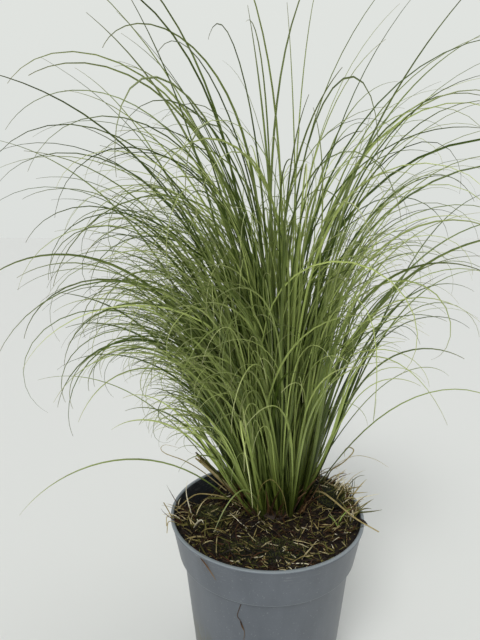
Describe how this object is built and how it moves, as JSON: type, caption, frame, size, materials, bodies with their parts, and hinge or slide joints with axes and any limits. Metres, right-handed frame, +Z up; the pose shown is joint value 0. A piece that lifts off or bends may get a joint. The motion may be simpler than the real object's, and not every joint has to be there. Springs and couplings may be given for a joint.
{
  "type": "potted ornamental grass",
  "caption": "Arching clump of fine green sedge leaves growing from mossy compost in a tapered nursery pot with a deep collar.",
  "frame": {"origin": "middle of the pot's foot, on the surface it stands on", "axes": "+Z up along the pot's axis; -Y towards the viewer of the plant's front, +X to that viewer's right"},
  "size_m": [0.335, 0.298, 0.4202],
  "materials": {
    "pot": "injection-moulded polypropylene, blue-grey, satin, dusty and stained with peat",
    "compost": "moist dark peat compost with bits of straw and bark",
    "moss": "short olive-green moss and algae over the compost",
    "leaf_sheaths": "old brown leaf bases packed round the shoots",
    "tuft": "dense bundles of channelled green leaves, darker towards the base",
    "leaf": "fine channelled sedge leaf, satin green, paler towards the thread-like tip",
    "dry_leaf": "dead leaf and straw, tan to brown, matt",
    "seedling": "bright soft green, slightly glossy"
  },
  "bodies": {
    "root": {"compost": "compost", "crown": "leaf_sheaths", "curled_dry_leaf": "dry_leaf", "cut_stub": "dry_leaf", "leaf_centre": "leaf", "leaf_inner_back_left": "leaf", "leaf_inner_back_right": "leaf", "leaf_inner_front_left": "leaf", "leaf_inner_front_right": "leaf", "leaf_inner_left": "leaf", "leaf_inner_right": "leaf", "leaf_outer_back": "leaf", "leaf_outer_back_left": "leaf", "leaf_outer_back_right": "leaf", "leaf_outer_front": "leaf", "leaf_outer_front_left": "leaf", "leaf_outer_front_right": "leaf", "leaf_outer_left": "leaf", "leaf_outer_left_back": "leaf", "leaf_outer_left_front": "leaf", "leaf_outer_right": "leaf", "leaf_outer_right_back": "leaf", "leaf_outer_right_front": "leaf", "long_straw": "dry_leaf", "low_leaf_back": "leaf", "low_leaf_back_left": "leaf", "low_leaf_front": "leaf", "low_leaf_left": "leaf", "low_leaf_left_front": "leaf", "low_leaf_right": "leaf", "low_leaf_right_back": "leaf", "moss_front": "moss", "moss_left": "moss", "moss_right": "moss", "pot": "pot", "seedling": "seedling", "tuft_centre": "tuft", "tuft_inner_back_left": "tuft", "tuft_inner_back_right": "tuft", "tuft_inner_front_left": "tuft", "tuft_inner_front_right": "tuft", "tuft_inner_left": "tuft", "tuft_inner_right": "tuft", "tuft_outer_back": "tuft", "tuft_outer_back_left": "tuft", "tuft_outer_back_right": "tuft", "tuft_outer_front": "tuft", "tuft_outer_front_left": "tuft", "tuft_outer_front_right": "tuft", "tuft_outer_left": "tuft", "tuft_outer_left_back": "tuft", "tuft_outer_left_front": "tuft", "tuft_outer_right": "tuft", "tuft_outer_right_back": "tuft", "tuft_outer_right_front": "tuft"}
  },
  "joints": []
}
